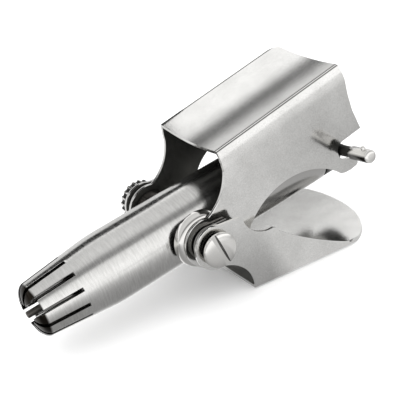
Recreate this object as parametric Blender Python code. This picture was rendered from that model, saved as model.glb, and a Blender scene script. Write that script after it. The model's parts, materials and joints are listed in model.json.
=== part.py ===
"""Hand-squeezed nose hair trimmer, as an assembly of separate pieces.

Every size below is in millimetres, and the meshes are made in metres. The design frame has its
origin where the pivot axis crosses the tube's axis: +X runs along the tube from the cutting crown
to the drive pin, -Y points to the side that the pin sticks out of, and +Z to the upper handle.
An empty, "assembly", then sets the whole trimmer down as it stands on a table, on the flat underside
of the lower handle, with the origin under the middle of its bounding box.
"""

import math

import bmesh
import bpy
from mathutils import Matrix, Vector

MM = 0.001
GAP = 0.3  # between pieces that touch on the real object
ROUND = 36  # facets round a large turned piece
CROWN_ROUND = 48  # round the tube and the inner blade
SMALL_ROUND = 24  # facets round a small turned piece
NEAR = -1  # the side of the drive pin
FAR = 1

# Tube: the fixed outer blade
TUBE_R = 6.5
TUBE_WALL = 0.8
TUBE_REAR = 28.9
TAPER_FRONT = -29.0
TAPER_REAR = -16.0
SHOULDER_R = 5.1
CROWN_FRONT = -31.0
MOUTH_R = 1.9

# Slots of the crown, shared by the outer and the inner blade
SLOT_COUNT = 12
SLOT_WIDTH = 0.76
SLOT_REAR = -21.9
SLOT_START_R = 1.3
SLOT_PHASE = math.radians(9.0)
CHANNEL_HALF = 1.25  # a channel crosses the crown's front and leaves two opposite teeth short
CHANNEL_TURN = math.radians(144.0)
CHANNEL_FLOOR = -29.3
CHANNEL_STEP = 0.4  # the inner blade's teeth are cut back this much further

# Inner blade, its shaft and the drive at the rear
BLADE_WALL = 0.7
BLADE_BACK = -16.0
BLADE_FLOOR = 1.2
SOCKET_R = 3.0
SOCKET_LENGTH = 3.5
POST_R = 0.62
POST_FRONT = -31.25
BUSH_FRONT = 2.0
BUSH_REAR = 8.0
BLADE_WIRE = 0.35
BLADE_COIL_R = 2.6
BLADE_TURNS = 8
HUB_PLUG_R = TUBE_R - TUBE_WALL - GAP
HUB_FRONT = 23.0
HUB_REAR = 32.7
HUB_RIM_R = 6.4
HUB_BORE_DEPTH = 5.0
PIN_X = 30.8
PIN_R = 1.1
PIN_NECK_R = 1.0
PIN_NECK = (9.4, 12.9)
PIN_HEAD_R = 1.22  # of the thicker outer end, past the neck
PIN_TIP = 18.3
PIN_ROOT = 2.4
PIN_ANGLE = math.radians(8.5)  # above -Y, with the handles open
LUG_AT = 16.5
LUG_R = 0.4
LUG_RISE = 0.6
LUG_DEPTH = 0.4
LUG_CLEARANCE = 0.08

# Handles
SHEET = 0.6
SHEET_SIDE = -1.0  # the sheet lies inside its outer face
UPPER_HALF_WIDTH = 10.09
UPPER_SLOPE = math.tan(math.radians(6.0))
UPPER_BEND_HEIGHT = 12.7  # of the upper bend line, over the pivot
UPPER_BEVEL = (1.0, 0.75)
ROLL_DEPTH = 2.6  # the wall leans in from this far below the bend line
ROLL_HIGH = 0.52  # to this far above it
ROLL_IN = 0.62
UPPER_LOW = -8.0
TROUGH_DIP = 0.64
TROUGH_STEPS = 10
ROLL_STEPS = 3
UPPER_EAR_R = 4.47
UPPER_FRONT = 7.0
UPPER_REAR = 34.4
CORNER_R = 3.0  # the far rear corner is rounded in plan
CORNER_AT = (31.7, 6.3)
CORNER_LOW = 14.5
CORNER_HEIGHT = 6.0
FAR_WALL_REAR = [(31.7, 15.6), (32.1, 14.2), (32.9, 12.8), (33.9, 11.6), (34.8, 10.9)]
FORK_SLOT_HALF = 1.9
FORK_SLOT_END = (31.4, 1.5)
ARCH_NEAR = (18.5, -11.2, 13.75)
ARCH_FAR = (18.6, -4.3, 9.7)
LOWER_HALF_WIDTH = 12.67
LOWER_HIGH = 8.0
LOWER_EAR_R = 4.02
LOWER_FLARE = 0.137
LOWER_FLARE_FROM = 5.0
FOLD_R = 1.2
WALL_END = -12.75
WEB_FRONT = 4.85
WEB_DROP = -12.15
WEB_SLOPE = -0.075
PADDLE_CENTRE = 22.5
PADDLE_LENGTH = 10.1
PADDLE_HALF = 15.4
PADDLE_POWER = 2.2
PADDLE_STEPS = 24

# Pivot stack, outwards from the tube
BORE_R = 1.9
AXLE_R = 1.6
AXLE_INNER = 7.1
BOSS_FOOT_R = 3.4
BOSS_FLANGE = 7.4
BOSS_FLANGE_R = 5.2
BOSS_END_R = 3.95
DOME_STEPS = 5
SPACER_R = 2.6
SPRING_WIRE = 0.17
SPRING_COIL_R = 3.15
SPRING_TURNS = 2.5
SPRING_PHASE = math.radians(90)
SPRING_LEG_UP = (4.2, 0, -0.6)
SPRING_LEG_DOWN = (4.5, 0, -0.9)
WASHER_R = 2.7
WASHER_THICK = 0.2
HEAD_R = 3.14
HEAD_RIM = 0.45
HEAD_RISE = 1.05
HEAD_SLOT_WIDTH = 1.0
HEAD_SLOT_DEPTH = 0.7
HEAD_SLOT_TURN = math.radians(-10.0)
NUT_HEIGHT = 1.65
NUT_R = 3.9
NUT_ROOT_R = 3.5
NUT_TEETH = 20
STUD_PROUD = 0.3

# Resting place of the design frame: the underside of the lower handle is level
REST_TILT = math.atan(-WEB_SLOPE)
REST_POSITION = (-1.9084, 1.4732, 11.742)


def clear_scene():
    for old in list(bpy.data.objects):
        bpy.data.objects.remove(old, do_unlink=True)


def make_material(name, colour, roughness):
    material = bpy.data.materials.new(name)
    material.use_nodes = True
    shader = material.node_tree.nodes["Principled BSDF"]
    shader.inputs["Base Color"].default_value = (*colour, 1.0)
    shader.inputs["Metallic"].default_value = 1.0
    shader.inputs["Roughness"].default_value = roughness
    return material


def place_empty(name, location=(0, 0, 0), parent=None):
    empty = bpy.data.objects.new(name, None)
    bpy.context.scene.collection.objects.link(empty)
    empty.parent = parent
    empty.location = Vector(location) * MM
    return empty


def finish_mesh(name, bm, material=None, parent=None):
    """Closes up a bmesh drawn in millimetres and turns it into an object in metres."""
    bmesh.ops.remove_doubles(bm, verts=bm.verts, dist=1e-5)
    bmesh.ops.dissolve_degenerate(bm, edges=bm.edges, dist=1e-5)
    bmesh.ops.recalc_face_normals(bm, faces=bm.faces)
    bmesh.ops.scale(bm, vec=(MM, MM, MM), verts=bm.verts)
    mesh = bpy.data.meshes.new(name)
    bm.to_mesh(mesh)
    bm.free()
    mesh.shade_smooth()
    mesh.set_sharp_from_angle(angle=math.radians(35))
    made = bpy.data.objects.new(name, mesh)
    bpy.context.scene.collection.objects.link(made)
    made.parent = parent
    if material:
        mesh.materials.append(material)
    return made


def arc(centre_x, centre_z, radius, start, end, steps):
    """Points on a circle from one angle to another, both in degrees."""
    points = []
    for step in range(steps + 1):
        turn = math.radians(start + (end - start) * step / steps)
        points.append((centre_x + radius * math.cos(turn), centre_z + radius * math.sin(turn)))
    return points


def extruded(name, outline, low, high, **looks):
    """A closed (x, z) outline drawn out along Y from low to high."""
    bm = bmesh.new()
    face = bm.faces.new([bm.verts.new((x, low, z)) for x, z in outline])
    drawn = bmesh.ops.extrude_face_region(bm, geom=[face])["geom"]
    moved = [part for part in drawn if isinstance(part, bmesh.types.BMVert)]
    bmesh.ops.translate(bm, verts=moved, vec=(0, high - low, 0))
    return finish_mesh(name, bm, **looks)


def turned(name, profile, along, steps=ROUND, **looks):
    """A closed profile of (distance along the axis, radius), turned round X or Y."""
    bm = bmesh.new()
    rings = []
    for distance, radius in profile:
        ring = []
        for step in range(steps if radius else 1):
            turn = 2 * math.pi * step / steps
            side, up = radius * math.cos(turn), radius * math.sin(turn)
            place = (distance, side, up) if along == "X" else (side, distance, up)
            ring.append(bm.verts.new(place))
        rings.append(ring)
    for first, second in zip(rings, rings[1:] + rings[:1]):
        if len(first) == len(second) == 1:
            continue
        for step in range(steps):
            after = (step + 1) % steps
            corners = [first[step % len(first)], first[after % len(first)]]
            corners += [second[after % len(second)], second[step % len(second)]]
            bm.faces.new(list(dict.fromkeys(corners)))
    return finish_mesh(name, bm, **looks)


def swept(name, route, radius, sides=6, **looks):
    """A round wire along a list of points, with flat ends."""
    bm = bmesh.new()
    rings = []
    side = None
    for index, here in enumerate(route):
        before = route[max(index - 1, 0)]
        after = route[min(index + 1, len(route) - 1)]
        ahead = (Vector(after) - Vector(before)).normalized()
        guess = side or ahead.orthogonal()
        side = (guess - ahead * guess.dot(ahead)).normalized()
        other = ahead.cross(side)
        ring = []
        for step in range(sides):
            turn = 2 * math.pi * step / sides
            offset = side * math.cos(turn) + other * math.sin(turn)
            ring.append(bm.verts.new(Vector(here) + offset * radius))
        rings.append(ring)
    for first, second in zip(rings, rings[1:]):
        for step in range(sides):
            after = (step + 1) % sides
            bm.faces.new((first[step], first[after], second[after], second[step]))
    bm.faces.new(rings[0])
    bm.faces.new(rings[-1])
    return finish_mesh(name, bm, **looks)


def combine(target, tool, operation):
    """Adds a Boolean modifier and turns its tool into a hidden guide."""
    modifier = target.modifiers.new(operation.lower(), "BOOLEAN")
    modifier.operation = operation
    modifier.object = tool
    tool.hide_render = True
    tool.display_type = "WIRE"
    if tool.parent is None:
        tool.parent = target.parent


def cut(target, tool):
    combine(target, tool, "DIFFERENCE")


def taper_radius(x):
    """Outer radius of the tube at a place along it, behind the crown's shoulder."""
    slope = (TUBE_R - SHOULDER_R) / (TAPER_REAR - TAPER_FRONT)
    return SHOULDER_R + (min(x, TAPER_REAR) - TAPER_FRONT) * slope


def crown_curve(inset, steps=7):
    """The rounded nose from the mouth to the shoulder, moved in by a distance."""
    points = []
    depth = TAPER_FRONT - CROWN_FRONT - inset
    rise = SHOULDER_R - inset - MOUTH_R
    for step in range(steps + 1):
        turn = math.radians(90 * step / steps)
        x = TAPER_FRONT - depth * math.cos(turn)
        points.append((x, MOUTH_R + rise * math.sin(turn)))
    return points


def slot_cutter(name):
    """Radial blades that open the slots of a crown."""
    bm = bmesh.new()
    length = SLOT_REAR - CROWN_FRONT + 3
    reach = TUBE_R + 1 - SLOT_START_R
    for number in range(SLOT_COUNT):
        turn = SLOT_PHASE + 2 * math.pi * number / SLOT_COUNT
        box = bmesh.ops.create_cube(bm, size=1.0)["verts"]
        bmesh.ops.scale(bm, vec=(length, reach, SLOT_WIDTH), verts=box)
        middle = (SLOT_REAR - length / 2, SLOT_START_R + reach / 2, 0)
        bmesh.ops.translate(bm, vec=middle, verts=box)
        bmesh.ops.rotate(bm, matrix=Matrix.Rotation(turn, 3, "X"), verts=box)
    return finish_mesh(name, bm)


def channel_cutter(name, floor):
    """Two bars, one on each side of the middle post, that cut the channel across the crown."""
    bm = bmesh.new()
    front = CROWN_FRONT - 1
    start = POST_R + GAP
    reach = TUBE_R + 1 - start
    for side in (1, -1):
        bar = bmesh.ops.create_cube(bm, size=1.0)["verts"]
        bmesh.ops.scale(bm, vec=(floor - front, reach, 2 * CHANNEL_HALF), verts=bar)
        middle = ((floor + front) / 2, (start + reach / 2) * side, 0)
        bmesh.ops.translate(bm, vec=middle, verts=bar)
    bmesh.ops.rotate(bm, matrix=Matrix.Rotation(CHANNEL_TURN, 3, "X"), verts=bm.verts)
    return finish_mesh(name, bm)


def make_tube(material, parent):
    bore = TUBE_R - TUBE_WALL
    outside = crown_curve(0.0)
    outside += [(TAPER_REAR, TUBE_R), (TUBE_REAR - 0.15, TUBE_R), (TUBE_REAR, TUBE_R - 0.15)]
    inside = [(TUBE_REAR, bore), (TAPER_REAR, bore)]
    inside += crown_curve(TUBE_WALL)[::-1]
    looks = {"material": material, "parent": parent}
    tube = turned("outer_tube", outside + inside, "X", CROWN_ROUND, **looks)
    cut(tube, slot_cutter("outer_slot_cutter"))
    cut(tube, channel_cutter("outer_channel_cutter", CHANNEL_FLOOR))
    return tube


def make_inner_blade(material, parent):
    """A thin cup that lines the crown, with matching slots, a middle post and a socket behind."""
    inset = TUBE_WALL + GAP
    wall = inset + BLADE_WALL
    floor = BLADE_BACK - BLADE_FLOOR
    socket = BLADE_BACK + SOCKET_LENGTH
    outside = crown_curve(inset, 5) + [(BLADE_BACK, taper_radius(BLADE_BACK) - inset)]
    outside += [(BLADE_BACK, SOCKET_R), (socket, SOCKET_R), (socket, BORE_R)]
    outside += [(BLADE_BACK + GAP, BORE_R), (BLADE_BACK + GAP, 0)]
    inside = [(POST_FRONT, 0), (POST_FRONT, POST_R - 0.12), (POST_FRONT + 0.12, POST_R)]
    inside += [(floor, POST_R), (floor, taper_radius(floor) - wall)]
    inside += crown_curve(wall, 5)[::-1]
    looks = {"material": material, "parent": parent}
    blade = turned("inner_blade", outside + inside, "X", CROWN_ROUND, **looks)
    cut(blade, slot_cutter("inner_slot_cutter"))
    cut(blade, channel_cutter("inner_channel_cutter", CHANNEL_FLOOR + CHANNEL_STEP))
    return blade


def make_drive(material, dark, parent):
    """The shaft, the hub that closes the tube's rear end, and the pin that turns them."""
    looks = {"material": material, "parent": parent}
    shaft_front = BLADE_BACK + 2 * GAP
    shaft_rear = HUB_FRONT + HUB_BORE_DEPTH - GAP
    rod = [(shaft_front, 0), (shaft_front, AXLE_R), (shaft_rear, AXLE_R), (shaft_rear, 0)]
    turned("cutter_shaft", rod, "X", SMALL_ROUND, **looks)

    rim_front = TUBE_REAR + GAP
    bore_end = HUB_FRONT + HUB_BORE_DEPTH
    hub = [(bore_end, 0), (bore_end, BORE_R), (HUB_FRONT, BORE_R), (HUB_FRONT, HUB_PLUG_R - 0.4)]
    hub += [(HUB_FRONT + 0.4, HUB_PLUG_R), (rim_front, HUB_PLUG_R), (rim_front, HUB_RIM_R - 0.2)]
    hub += [(rim_front + 0.2, HUB_RIM_R), (HUB_REAR - 0.5, HUB_RIM_R)]
    hub += [(HUB_REAR, HUB_RIM_R - 0.5), (HUB_REAR, 0)]
    made = turned("drive_hub", hub, "X", **{**looks, "material": dark})
    root = PIN_ROOT - GAP
    hole_r = PIN_R + GAP
    hole = [(-root, 0), (-root, hole_r), (-HUB_RIM_R - 1, hole_r), (-HUB_RIM_R - 1, 0)]
    cutter = turned("pin_hole_cutter", hole, "Y", SMALL_ROUND)
    cut(made, cutter)

    pin = [(-PIN_ROOT, 0), (-PIN_ROOT, PIN_R), (-PIN_NECK[0] + 0.2, PIN_R), (-PIN_NECK[0], PIN_NECK_R)]
    pin += [(-PIN_NECK[1], PIN_NECK_R), (-PIN_NECK[1] - 0.15, PIN_HEAD_R)]
    pin += [(-PIN_TIP + 0.45, PIN_HEAD_R), (-PIN_TIP + 0.12, PIN_HEAD_R - 0.25)]
    pin += [(-PIN_TIP, PIN_HEAD_R - 0.65), (-PIN_TIP, 0)]
    drive_pin = turned("drive_pin", pin, "Y", SMALL_ROUND, **looks)
    for piece in (cutter, drive_pin):
        piece.location.x = PIN_X * MM
        piece.rotation_euler.x = -PIN_ANGLE
    return drive_pin


def make_pin_lug(drive_pin, material):
    """A small cross pin through the drive pin, standing a little proud of it on top."""
    top = PIN_HEAD_R + LUG_RISE
    lug = [(-LUG_DEPTH, 0), (-LUG_DEPTH, LUG_R), (top - 0.15, LUG_R), (top, LUG_R - 0.15), (top, 0)]
    hole_r = LUG_R + LUG_CLEARANCE
    hole_end = -LUG_DEPTH - LUG_CLEARANCE
    hole = [(hole_end, 0), (hole_end, hole_r), (top + 1, hole_r), (top + 1, 0)]
    looks = {"parent": drive_pin.parent}
    made = turned("pin_lug", lug, "Y", 16, material=material, **looks)
    cutter = turned("lug_hole_cutter", hole, "Y", 16, **looks)
    cut(drive_pin, cutter)
    for piece in (made, cutter):
        spot = Vector((0, -math.cos(PIN_ANGLE), math.sin(PIN_ANGLE))) * LUG_AT
        piece.location = (Vector((PIN_X, 0, 0)) + spot) * MM
        piece.rotation_euler.x = math.radians(90) - PIN_ANGLE


def coil(along, start, pitch, turns, radius, phase=0.0, steps=14):
    """Points of a helix round X or Y; a negative pitch runs backwards."""
    points = []
    for step in range(round(turns * steps) + 1):
        turn = 2 * math.pi * step / steps
        distance = start + pitch * turn / (2 * math.pi)
        side, up = radius * math.cos(turn + phase), radius * math.sin(turn + phase)
        points.append((distance, side, up) if along == "X" else (side, distance, up))
    return points


def make_blade_spring_and_bush(spring_steel, steel, parent):
    bore = TUBE_R - TUBE_WALL - GAP
    ring = [(BUSH_FRONT, BORE_R), (BUSH_FRONT, bore), (BUSH_REAR, bore), (BUSH_REAR, BORE_R)]
    turned("guide_bush", ring, "X", material=steel, parent=parent)
    start = BLADE_BACK + SOCKET_LENGTH + GAP + BLADE_WIRE
    length = BUSH_FRONT - GAP - BLADE_WIRE - start
    route = coil("X", start, length / BLADE_TURNS, BLADE_TURNS, BLADE_COIL_R, steps=12)
    swept("blade_spring", route, BLADE_WIRE, 5, material=spring_steel, parent=parent)


def bowed(start, end, bow, steps=8):
    """Points from start towards end along a shallow arc, bulging to the left by bow."""
    (x0, z0), (x1, z1) = start, end
    length = math.hypot(x1 - x0, z1 - z0)
    points = []
    for step in range(steps):
        part = step / steps
        rise = 4 * bow * part * (1 - part) / length
        x = x0 + (x1 - x0) * part - (z1 - z0) * rise
        z = z0 + (z1 - z0) * part + (x1 - x0) * rise
        points.append((x, z))
    return points


def folded_sheet(name, sections, material, parent):
    """A sheet through matching cross-sections [(x, [(y, z), ...]), ...] of its outer face."""
    bm = bmesh.new()
    rows = []
    for x, section in sections:
        rows.append([bm.verts.new((x, y, z)) for y, z in section])
    for first, second in zip(rows, rows[1:]):
        for index in range(len(first) - 1):
            bm.faces.new((first[index], first[index + 1], second[index + 1], second[index]))
    made = finish_mesh(name, bm, material=material, parent=parent)
    solidify = made.modifiers.new("sheet", "SOLIDIFY")
    solidify.thickness = SHEET * MM
    solidify.offset = SHEET_SIDE
    solidify.use_even_offset = True
    return made


def upper_section(x):
    """The upper handle's outer face across the channel: wall, roll, bevel, trough and back down."""
    bend = UPPER_BEND_HEIGHT + x * UPPER_SLOPE
    across, rise = UPPER_BEVEL
    edge = UPPER_HALF_WIDTH - across
    wall = [(UPPER_HALF_WIDTH, UPPER_LOW)]
    for step in range(ROLL_STEPS + 1):
        part = step / ROLL_STEPS
        z = bend - ROLL_DEPTH + (ROLL_DEPTH + ROLL_HIGH) * part
        wall.append((UPPER_HALF_WIDTH - ROLL_IN * part**2, z))
    points = [(-y, z) for y, z in wall]
    for step in range(TROUGH_STEPS + 1):
        y = edge * (2 * step / TROUGH_STEPS - 1)
        points.append((y, bend + rise - TROUGH_DIP * (1 - (y / edge) ** 2)))
    return points + wall[::-1]


def upper_outline():
    """Side view of the upper handle: ear, rounded front, tail with the pin's open slot, arch."""
    outline = arc(0, 0, UPPER_EAR_R, 317.5, 70, 20)
    outline += bowed(outline[-1], (6.9, 10.7), -1.05)[1:]
    outline += [(6.9, 10.7), (UPPER_FRONT, 13), (UPPER_FRONT - 0.2, 20), (UPPER_REAR - 0.6, 20)]
    outline += [(UPPER_REAR, 16.3), (34.6, 14.3), (34.45, 11.2), (34.6, 8), (35.4, 3.8)]
    slot_x, slot_z = FORK_SLOT_END
    outline += arc(slot_x, slot_z, FORK_SLOT_HALF, 90, 270, 12)
    outline += [(33.1, -1.9), (33.15, -2.3), (32.8, -2.6), (31.4, -2.85), (30, -2.75)]
    outline += arc(*ARCH_NEAR, 39.7, 136.2, 20)
    outline += arc(4.9, 2.0, 5.25, 315, 252, 6)
    return outline


def make_upper_handle(material, parent):
    sections = [(-8, upper_section(-8)), (40, upper_section(40))]
    handle = folded_sheet("upper_handle", sections, material, parent)
    width = UPPER_HALF_WIDTH + 2
    side = extruded("upper_side_guide", upper_outline(), -width, width)
    combine(handle, side, "INTERSECT")
    far_arch = arc(*ARCH_FAR, 0, 352, 44)
    cut(handle, extruded("far_arch_cutter", far_arch, 5, width))
    cut(handle, extruded("upper_hole_cutter", arc(0, 0, BORE_R, 0, 348.75, 31), -width, width))
    cut(handle, make_corner_cutter())
    top, bottom = CORNER_LOW + CORNER_HEIGHT, FAR_WALL_REAR[-1][1]
    rear = [(UPPER_REAR + 4, bottom), (UPPER_REAR + 4, top), (FAR_WALL_REAR[0][0], top)]
    cut(handle, extruded("wall_corner_cutter", FAR_WALL_REAR + rear, CORNER_AT[1] + CORNER_R, width))
    return handle


def make_corner_cutter():
    """What is taken off round the top plate's far rear corner, seen from above."""
    x, y = CORNER_AT
    outline = arc(x, y, CORNER_R, 90, 0, 8)
    outline += [(UPPER_REAR + 4, y), (UPPER_REAR + 4, y + CORNER_R + 0.05)]
    bm = bmesh.new()
    face = bm.faces.new([bm.verts.new((px, py, CORNER_LOW)) for px, py in outline])
    drawn = bmesh.ops.extrude_face_region(bm, geom=[face])["geom"]
    moved = [part for part in drawn if isinstance(part, bmesh.types.BMVert)]
    bmesh.ops.translate(bm, verts=moved, vec=(0, 0, CORNER_HEIGHT))
    return finish_mesh("corner_cutter", bm)


def lower_section(x):
    """The lower handle's outer face across the spoon: wall, rounded fold, web, fold, wall."""
    half = LOWER_HALF_WIDTH + max(x - LOWER_FLARE_FROM, 0) * LOWER_FLARE
    web = WEB_DROP + (x - LOWER_FLARE_FROM) * WEB_SLOPE
    fold = arc(half - FOLD_R, web + FOLD_R, FOLD_R, 0, -90, 4)
    points = [(half, LOWER_HIGH)] + fold
    return points + [(-y, z) for y, z in points[::-1]]


def lower_outline():
    """Side view of the lower handle: ear, front bite, web, and the wall that runs out rearwards."""
    outline = arc(-2.13, -10.7, 7.08, -8, 69.5, 8)
    outline += arc(0, 0, LOWER_EAR_R, 274, 61, 20)
    outline += [(5.7, 2.8)]
    outline += arc(10.6, 2.3, 4.45, 180, 275, 8)
    outline += [(11.5, -2.5)] + bowed((11.8, -3.3), (24.2, WALL_END), -0.55, 7)
    outline += [(24.2, WALL_END), (40, WALL_END), (40, -20), (WEB_FRONT, -20)]
    return outline


def paddle_outline():
    """Plan of the lower handle as seen from above: straight in front, rounded behind."""
    outline = []
    for step in range(PADDLE_STEPS + 1):
        turn = math.pi * (step / PADDLE_STEPS - 0.5)
        reach = PADDLE_LENGTH * math.cos(turn) ** (2 / PADDLE_POWER)
        wide = PADDLE_HALF * abs(math.sin(turn)) ** (2 / PADDLE_POWER)
        outline.append((PADDLE_CENTRE + reach, math.copysign(wide, turn)))
    return outline + [(0, PADDLE_HALF), (-10, PADDLE_HALF), (-10, -PADDLE_HALF), (0, -PADDLE_HALF)]


def make_lower_handle(material, parent):
    stations = [-8, LOWER_FLARE_FROM, 40]
    sections = [(x, lower_section(x)) for x in stations]
    handle = folded_sheet("lower_handle", sections, material, parent)
    width = PADDLE_HALF + 4
    side = extruded("lower_side_guide", lower_outline(), -width, width)
    combine(handle, side, "INTERSECT")
    plan = extruded("paddle_guide", paddle_outline(), -20, 20)
    plan.rotation_euler.x = math.radians(90)
    combine(handle, plan, "INTERSECT")
    cut(handle, extruded("lower_hole_cutter", arc(0, 0, BORE_R, 0, 348.75, 31), -width, width))
    return handle


def mirrored(profile, side):
    return [(distance * side, radius) for distance, radius in profile]


def make_pivot_side(label, side, steel, spring_steel, parent):
    """What both ends of the pivot share: the boss on the tube, the spacer and the spring."""
    looks = {"material": steel, "parent": parent}
    upper_inner = UPPER_HALF_WIDTH - SHEET
    boss_end = upper_inner - GAP
    boss = [(4, BORE_R), (4, BOSS_FOOT_R)]
    if side == NEAR:
        boss += [(BOSS_FLANGE, BOSS_FOOT_R), (BOSS_FLANGE, BOSS_FLANGE_R)]
        for step in range(1, DOME_STEPS + 1):
            turn = math.radians(90 * step / DOME_STEPS)
            fall = (BOSS_FLANGE_R - BOSS_END_R) * (1 - math.cos(turn))
            boss.append((BOSS_FLANGE + (boss_end - BOSS_FLANGE) * math.sin(turn), BOSS_FLANGE_R - fall))
    else:
        boss.append((boss_end, BOSS_FOOT_R))
    boss.append((boss_end, BORE_R))
    made = turned("boss_" + label, mirrored(boss, side), "Y", **looks)
    saddle_r = TUBE_R + GAP
    saddle = [(-8, 0), (-8, saddle_r), (8, saddle_r), (8, 0)]
    cut(made, turned("saddle_cutter_" + label, saddle, "X", CROWN_ROUND))

    low = UPPER_HALF_WIDTH + GAP
    high = LOWER_HALF_WIDTH - SHEET - GAP
    spacer = [(low, BORE_R), (low, SPACER_R), (high, SPACER_R), (high, BORE_R)]
    turned("spacer_" + label, mirrored(spacer, side), "Y", **looks)

    start = (low + SPRING_WIRE) * side
    pitch = (high - low - 2 * SPRING_WIRE) / SPRING_TURNS * side
    turns = coil("Y", start, pitch, SPRING_TURNS, SPRING_COIL_R, SPRING_PHASE)
    first = Vector(turns[0]) + Vector(SPRING_LEG_UP)
    last = Vector(turns[-1]) + Vector(SPRING_LEG_DOWN)
    route = [tuple(first)] + turns + [tuple(last)]
    swept("spring_" + label, route, SPRING_WIRE, material=spring_steel, parent=parent)


def make_near_fastener(steel, parent):
    """The slotted screw on the pin's side and the washer under its head."""
    looks = {"material": steel, "parent": parent}
    face = LOWER_HALF_WIDTH + GAP
    washer = [(face, BORE_R), (face, WASHER_R), (face + WASHER_THICK, WASHER_R)]
    washer += [(face + WASHER_THICK, BORE_R)]
    turned("screw_washer", mirrored(washer, NEAR), "Y", **looks)
    base = face + WASHER_THICK + GAP
    screw = [(AXLE_INNER, 0), (AXLE_INNER, AXLE_R), (base, AXLE_R), (base, HEAD_R - 0.1)]
    screw += [(base + 0.1, HEAD_R), (base + HEAD_RIM, HEAD_R)]
    for step in range(1, 5):
        turn = math.radians(90 * step / 5)
        rise = (HEAD_RISE - HEAD_RIM) * math.sin(turn)
        screw.append((base + HEAD_RIM + rise, HEAD_R * math.cos(turn) ** 0.7))
    screw.append((base + HEAD_RISE, 0))
    made = turned("pivot_screw", mirrored(screw, NEAR), "Y", **looks)
    bm = bmesh.new()
    box = bmesh.ops.create_cube(bm, size=1.0)["verts"]
    bmesh.ops.scale(bm, vec=(HEAD_SLOT_WIDTH, 2, 3 * HEAD_R), verts=box)
    centre = (base + HEAD_RISE - HEAD_SLOT_DEPTH + 1) * NEAR
    bmesh.ops.translate(bm, vec=(0, centre, 0), verts=box)
    bmesh.ops.rotate(bm, matrix=Matrix.Rotation(HEAD_SLOT_TURN, 3, "Y"), verts=box)
    cut(made, finish_mesh("screw_slot_cutter", bm))


def make_far_fastener(steel, parent):
    """The threaded stud on the far side and its knurled nut."""
    looks = {"material": steel, "parent": parent}
    base = LOWER_HALF_WIDTH + GAP
    end = base + NUT_HEIGHT + STUD_PROUD
    stud = [(AXLE_INNER, 0), (AXLE_INNER, AXLE_R), (end - 0.3, AXLE_R), (end, AXLE_R - 0.3), (end, 0)]
    turned("pivot_stud", stud, "Y", SMALL_ROUND, **looks)

    outline = []
    for tooth in range(NUT_TEETH):
        for part, radius in ((-0.32, NUT_ROOT_R), (-0.14, NUT_R), (0.14, NUT_R), (0.32, NUT_ROOT_R)):
            turn = 2 * math.pi * (tooth + part) / NUT_TEETH
            outline.append((radius * math.cos(turn), radius * math.sin(turn)))
    nut = extruded("knurled_nut", outline, base, base + NUT_HEIGHT, **looks)
    top = base + NUT_HEIGHT
    blank = [(base - 1, BORE_R), (base - 1, NUT_R + 0.6), (top - 0.4, NUT_R + 0.2)]
    blank += [(top + 0.2, NUT_R - 0.4), (top + 0.2, BORE_R)]
    combine(nut, turned("nut_blank_guide", blank, "Y", 40), "INTERSECT")


def build():
    clear_scene()
    blade_steel = make_material("blade_steel", (0.60, 0.59, 0.56), 0.28)
    handle_steel = make_material("handle_steel", (0.66, 0.65, 0.62), 0.22)
    polished_steel = make_material("polished_steel", (0.70, 0.69, 0.66), 0.12)
    dark_steel = make_material("dark_steel", (0.05, 0.05, 0.05), 0.45)
    spring_steel = make_material("spring_steel", (0.42, 0.41, 0.40), 0.32)
    assembly = place_empty("assembly", REST_POSITION)
    assembly.rotation_euler.y = -REST_TILT
    make_tube(blade_steel, assembly)
    make_inner_blade(dark_steel, assembly)
    drive_pin = make_drive(polished_steel, dark_steel, assembly)
    make_pin_lug(drive_pin, polished_steel)
    make_blade_spring_and_bush(spring_steel, blade_steel, assembly)
    make_upper_handle(handle_steel, assembly)
    make_lower_handle(handle_steel, assembly)
    make_pivot_side("near", NEAR, polished_steel, spring_steel, assembly)
    make_pivot_side("far", FAR, polished_steel, spring_steel, assembly)
    make_near_fastener(polished_steel, assembly)
    make_far_fastener(polished_steel, assembly)


build()
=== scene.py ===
"""Looks of a hand-squeezed nose hair trimmer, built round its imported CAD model.

Every piece is made in the trimmer's own frame, in millimetres: the origin is where the pivot axis
crosses the tube's axis, +X runs along the tube to the drive pin, -Y is the side the pin sticks out
of, +Z is towards the upper handle. The meshes are then set down into the row frame, in metres.
"""

import json
import math

import bmesh
import bpy
from mathutils import Matrix, Vector


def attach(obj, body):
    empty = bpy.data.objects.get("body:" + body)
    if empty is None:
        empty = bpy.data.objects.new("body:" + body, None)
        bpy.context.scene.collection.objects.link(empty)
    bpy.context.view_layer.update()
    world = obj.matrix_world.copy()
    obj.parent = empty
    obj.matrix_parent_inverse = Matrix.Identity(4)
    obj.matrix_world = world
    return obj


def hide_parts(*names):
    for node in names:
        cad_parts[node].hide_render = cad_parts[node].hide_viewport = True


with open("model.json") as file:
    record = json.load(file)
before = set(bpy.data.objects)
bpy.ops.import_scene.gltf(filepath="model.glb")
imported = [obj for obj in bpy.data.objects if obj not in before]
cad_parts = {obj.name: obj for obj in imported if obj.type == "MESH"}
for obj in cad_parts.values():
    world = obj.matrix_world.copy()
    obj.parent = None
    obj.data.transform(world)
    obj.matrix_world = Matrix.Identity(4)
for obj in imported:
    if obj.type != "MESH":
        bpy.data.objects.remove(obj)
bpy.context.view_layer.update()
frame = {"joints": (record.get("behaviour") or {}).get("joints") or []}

MM = 0.001
joints = {joint["name"]: joint for joint in frame["joints"]}
tube_axis = joints["cutter_spin"]["axis"]
pivot = Vector(joints["upper_handle_hinge"]["pos_m"])
tilt = math.atan2(tube_axis[2], tube_axis[0])
TO_ROW = Matrix.Translation(pivot) @ Matrix.Rotation(-tilt, 4, "Y")

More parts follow.
